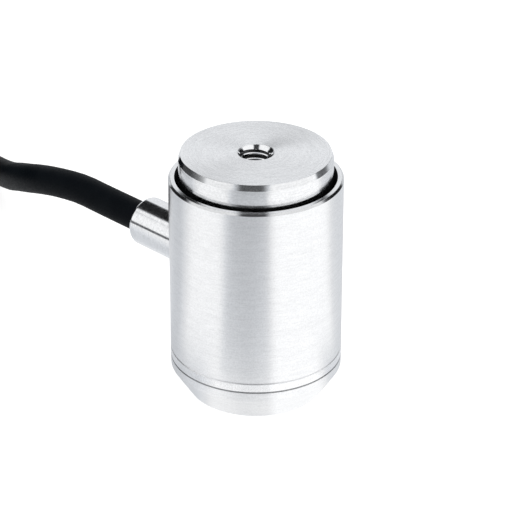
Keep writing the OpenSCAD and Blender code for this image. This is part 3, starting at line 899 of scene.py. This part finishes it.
tinned = tinnedStrands()
bareFrom = (leads["start"][0] + leads["length"] - leads["bare"] - leads["solderOver"]) * mm
for lead in leadPieces.values():
    lead.data.materials.append(tinned)
    for face in lead.data.polygons:
        face.material_index = 1 if face.center.x > bareFrom else 0

boardLook = {
    "colour": (0.010, 0.085, 0.035, 1),
    "second": (0.014, 0.11, 0.045, 1),
    "cloth": 0.5 * mm,
    "trackColour": (0.030, 0.17, 0.075, 1),
    "trackPitch": 1.3 * mm,
    "trackSpan": (0.55, 0.7),
    "roughness": (0.26, 0.4),
    "depth": 0.01 * mm,
    "clothRise": 0.2,  # against a track's
}


# Green board: weave of the glass cloth, faint tracks and the mask's gloss
def boardFinish():
    finish = Finish("boardLaminate", Coat_Weight=0.4)
    x, y = finish.parts(finish.place)[:2]
    cloth = finish.product(finish.ribs(x, boardLook["cloth"]), finish.ribs(y, boardLook["cloth"]))
    tracks = finish.ribs(finish.distance(x, y), boardLook["trackPitch"])
    track = finish.between(tracks, *boardLook["trackSpan"])
    base = finish.blend(finish.between(cloth, -1, 1), boardLook["colour"], boardLook["second"])
    return finish.complete(
        finish.blend(track, base, boardLook["trackColour"]),
        finish.between(cloth, -1, 1, *boardLook["roughness"]),
        finish.bumps(finish.weighted(track, 1.0, cloth, boardLook["clothRise"]), boardLook["depth"]))


gauge = {
    "columnHalf": 3,  # from the axis to the column's faces
    "film": 0.1,
    "filmEdge": 0.004,  # the film's colour gives way to the foil's within this height
    "filmColours": ((0.42, 0.15, 0.02, 1), (0.50, 0.20, 0.03, 1)),
    "foilColours": ((0.62, 0.47, 0.36, 1), (0.70, 0.55, 0.43, 1)),
    "cloudScale": 900,  # clouds in a metre
    "roughness": (0.22, 0.36),
    "depth": 0.002 * mm,
}


# Gauges: amber film, and copper-coloured foil where the grid and tabs stand on it
def gaugeFinish():
    finish = Finish("gaugeFilm", Coat_Weight=0.3)
    x, y = finish.parts(finish.place)[:2]
    out = finish.calculate("MAXIMUM", finish.calculate("ABSOLUTE", finish.calculate("ADD", x, y)),
                           finish.calculate("ABSOLUTE", finish.calculate("SUBTRACT", x, y)))
    filmTop = (gauge["columnHalf"] + gauge["film"]) * math.sqrt(2) * mm
    foil = finish.between(out, filmTop - gauge["filmEdge"] * mm, filmTop + gauge["filmEdge"] * mm)
    cloud = finish.noise(finish.place, gauge["cloudScale"])
    tone = finish.between(cloud, *cloudSpan)
    amber = finish.blend(tone, *gauge["filmColours"])
    copper = finish.blend(tone, *gauge["foilColours"])
    finish.connect(foil, "Metallic")
    return finish.complete(
        finish.blend(foil, amber, copper), finish.between(cloud, *noiseSpan, *gauge["roughness"]),
        finish.bumps(cloud, gauge["depth"]))


wear(cadNodes["circuit_board"], boardFinish())
gaugeFilm = gaugeFinish()
for nodeName in ("axial_gauges", "transverse_gauges"):
    wear(cadNodes[nodeName], gaugeFilm)

tieLook = {
    "colour": (0.045, 0.045, 0.048, 1),
    "valleyPaintedShade": (0.014, 0.014, 0.015, 1),
    "warp": 0.62 * mm,
    "weft": 0.5 * mm,
    "climb": 0.97,  # of the weft where the tie stands upright
    "warpShare": 0.5,  # rise of the warp alone, against the crossings
    "fibre": 0.12 * mm,
    "roughness": (0.72, 0.9),
    "depth": 0.05 * mm,
}


# Webbing of the tie: warp and weft as crossing ribs; its colour is darker in the weave's valleys as painted
# shade, and varies with the fibres
def webbingFinish():
    finish = Finish("tieWebbing", Specular_IOR_Level=0.3, Sheen_Weight=0.25, Sheen_Roughness=0.4)
    x, y, z = finish.parts(finish.place)
    warp = finish.ribs(x, tieLook["warp"])
    weft = finish.ribs(finish.weighted(y, 1.0, z, tieLook["climb"]), tieLook["weft"])
    fibres = finish.noise(finish.place, 1 / tieLook["fibre"])
    rise = finish.calculate("ADD", finish.weighted(warp, weft, warp, tieLook["warpShare"]), fibres)
    return finish.complete(
        finish.blend(finish.between(rise, -1, 2), tieLook["valleyPaintedShade"], tieLook["colour"]),
        finish.between(fibres, *noiseSpan, *tieLook["roughness"]), finish.bumps(rise, tieLook["depth"]))


webbing = webbingFinish()
for piece in (tieLoop, tieTail):
    wear(piece, webbing)


print("floor and light")
studio = {
    "floorSize": 6,
    "floorColour": (0.82, 0.82, 0.82, 1),
    "floorGlow": 0.78,  # what the camera sees of the floor without any lamp
    "floorShade": (0.5, 0.5, 0.5, 1),
    "worldForLight": 0.4,
    # soft boxes: place, width and height, and power
    "lamps": {
        "rightBox": ((0.62, 0.22, 0.30), (0.5, 0.6), 3.2),
        "leftBox": ((-0.30, -0.62, 0.28), (0.4, 0.5), 2.2),
        "topBox": ((-0.05, 0.05, 0.75), (0.5, 0.5), 2.2),
    },
    "lampAim": (0, 0, 0.03),
    # what metal sees of the room; degrees are counted around the part from its front to the right
    "front": (0.712, -0.702),
    "right": (0.702, 0.712),
    # brightness at these degrees: of the walls with their soft boxes and gaps, of the table the part
    # stands on, of the table's far edge, and of the floor close to the foot
    "walls": [(-180, 0.87), (-122, 0.86), (-116, 1.02), (-33, 1.0), (21, 1.04), (106, 1.04), (112, 0.86),
              (180, 0.87)],
    "table": [(-180, 0.86), (-140, 0.85), (-122, 0.73), (-108, 0.71), (-96, 0.88), (-84, 1.08), (-45, 1.05),
              (-33, 0.68), (-8, 0.69), (11, 0.80), (24, 1.14), (96, 1.14), (110, 0.86), (130, 0.80),
              (180, 0.76)],
    "tableEdge": [(-180, 0.8), (-150, 0.8), (-142, 0.06), (-106, 0.06), (-98, 0.09), (-79, 0.09),
                  (-73, 0.9), (-40, 0.9), (-30, 0.10), (16, 0.10), (26, 1.1), (92, 1.1), (98, 0.14),
                  (120, 0.1), (142, 0.06), (150, 0.85), (180, 0.8)],
    "footGlow": [(-180, 0.7), (-90, 0.66), (-62, 0.72), (-50, 0.86), (-38, 1.03), (-24, 1.0), (-10, 0.93),
                 (8, 0.97), (19, 1.17), (62, 1.15), (84, 0.8), (180, 0.7)],
    "underFoot": (0.028, 0.035),  # metres from the axis at which footGlow gives way to table
    "tableReach": (0.30, 0.40),  # and table to tableEdge
    # dark places on the table: from and to in degrees, and in metres from the axis, and how bright
    "tableDark": [(-134, -104, 0.16, 0.50, 0.06), (-31, 15, 0.094, 0.17, 0.50)],
    "tableSoft": (3, 0.01),
    # dark parts of the room: from and to around the part and above the table, in degrees, how bright,
    # and how soft their ends are
    "dark": [(-171, -113, 34, 62, 0.012, 3), (-140, -101, 5, 35, 0.012, 3), (103, 142, 5, 35, 0.012, 3),
             (149, 167, 38, 48, 0.012, 3), (-28, 16, 3, 19, 0.07, 9), (-33, 24, 36, 72, 0.04, 6)],
    "darkSoft": 2,  # of their tops and bottoms
    "horizon": (2.8, 5.2),
    "roof": (66, 78),
    "roofGlow": 0.8,
    "coolTint": (0.975, 1, 1.035, 1),  # of the darker parts of the room
    "tintedBelow": (0.75, 0.98),
}
white = (1, 1, 1, 1)


# Nodes of the floor and of the world
class Studio(NodeBench):
    def __init__(self, tree):
        super().__init__(tree)
        tree.nodes.clear()
        self.path = self.add("ShaderNodeLightPath").outputs

    # 0 below start and 1 above end, in degrees or metres
    def rise(self, value, start, end):
        return self.add("ShaderNodeMapRange", {"Value": value, "From Min": start, "From Max": end},
                        interpolation_type="SMOOTHSTEP").outputs[0]

    def window(self, value, low, high, soft):
        return self.product(self.rise(value, low - soft, low + soft),
                            self.calculate("SUBTRACT", 1.0, self.rise(value, high - soft, high + soft)))

    # Degrees around the part, from its front to the right
    def around(self, x, y):
        front, right = studio["front"], studio["right"]
        ahead = self.weighted(x, front[0], y, front[1])
        beside = self.weighted(x, right[0], y, right[1])
        return self.product(self.calculate("ARCTAN2", beside, ahead), 180 / math.pi)

    def ring(self, degrees, steps):
        ramp = self.add("ShaderNodeValToRGB", {"Fac": self.between(degrees, -180, 180)})
        band = ramp.color_ramp
        band.interpolation = "EASE"
        while len(band.elements) < len(steps):
            band.elements.new(0.5)
        for element, (angle, value) in zip(band.elements, steps):
            element.position = (angle + 180) / 360
        for element, (angle, value) in zip(band.elements, steps):
            element.color = (value, value, value, 1)
        return ramp.outputs[0]

    # By the camera, or by it through something clear
    def seenDirectly(self):
        return self.calculate("MAXIMUM", self.path["Is Camera Ray"], self.path["Is Transmission Ray"])

    # Dim parts of the room are a little cooler than its bright boxes
    def tint(self, value):
        return self.blend(self.rise(value, *studio["tintedBelow"]), studio["coolTint"], white)


def softBox(name, place, size, power):
    data = bpy.data.lights.new(name, "AREA")
    data.shape = "RECTANGLE"
    data.size, data.size_y = size
    data.energy = power
    lamp = addObject(name, data)
    lookFrom(lamp, place, studio["lampAim"])
    lamp.visible_glossy = False  # metal sees the soft boxes in the world instead


def makeFloor():
    clearSelection()
    bpy.ops.mesh.primitive_plane_add(size=studio["floorSize"], location=(0, 0, 0))
    floor = bpy.context.object
    floor.name = "studioFloor"
    material = bpy.data.materials.new("paleFloor")
    material.use_nodes = True
    paper = Studio(material.node_tree)
    x, y = paper.parts(paper.add("ShaderNodeTexCoord").outputs["Object"])[:2]
    degrees, reach = paper.around(x, y), paper.distance(x, y)
    mirrored = paper.mix(paper.rise(reach, *studio["tableReach"]), paper.ring(degrees, studio["table"]),
                         paper.ring(degrees, studio["tableEdge"]))
    degreeSoft, reachSoft = studio["tableSoft"]
    for left, right, start, end, value in studio["tableDark"]:
        here = paper.product(paper.window(degrees, left, right, degreeSoft),
                             paper.window(reach, start, end, reachSoft))
        mirrored = paper.mix(here, mirrored, value)
    mirrored = paper.mix(paper.rise(reach, *studio["underFoot"]), paper.ring(degrees, studio["footGlow"]),
                         mirrored)
    lit = paper.add("ShaderNodeBsdfDiffuse", {"Color": studio["floorColour"]})
    shaded = paper.add("ShaderNodeBsdfDiffuse", {"Color": studio["floorShade"]})
    glow = paper.add("ShaderNodeEmission", {"Strength": studio["floorGlow"]})
    seen = paper.add("ShaderNodeAddShader", {0: shaded.outputs[0], 1: glow.outputs[0]})
    shine = paper.add("ShaderNodeEmission", {"Color": paper.tint(mirrored), "Strength": mirrored})
    choice = paper.add("ShaderNodeMixShader", {
        0: paper.path["Is Glossy Ray"], 1: lit.outputs[0], 2: shine.outputs[0]})
    choice = paper.add("ShaderNodeMixShader", {
        0: paper.seenDirectly(), 1: choice.outputs[0], 2: seen.outputs[0]})
    paper.add("ShaderNodeOutputMaterial", {"Surface": choice.outputs[0]})
    wear(floor, material)


def makeWorld():
    world = bpy.data.worlds.new("studioWorld")
    bpy.context.scene.world = world
    world.use_nodes = True
    room = Studio(world.node_tree)
    x, y, z = room.parts(room.add("ShaderNodeTexCoord").outputs["Generated"])
    degrees = room.around(x, y)
    height = room.product(room.calculate("ARCSINE", z), 180 / math.pi)
    walls = room.mix(room.rise(height, *studio["roof"]), room.ring(degrees, studio["walls"]),
                     studio["roofGlow"])
    walls = room.mix(room.rise(height, *studio["horizon"]), room.ring(degrees, studio["tableEdge"]), walls)
    for left, right, low, high, value, soft in studio["dark"]:
        here = room.product(room.window(height, low, high, studio["darkSoft"]),
                            room.window(degrees, left, right, soft))
        walls = room.mix(here, walls, value)
    light = room.mix(room.path["Is Glossy Ray"], studio["worldForLight"], walls)
    light = room.mix(room.seenDirectly(), light, 1.0)
    colour = room.blend(room.path["Is Glossy Ray"], white, room.tint(walls))
    background = room.add("ShaderNodeBackground", {"Color": colour, "Strength": light})
    room.add("ShaderNodeOutputWorld", {"Surface": background.outputs[0]})


makeFloor()
makeWorld()
for name, (place, size, power) in studio["lamps"].items():
    softBox(name, place, size, power)
bpy.context.scene.view_settings.view_transform = "Standard"

print("finished")
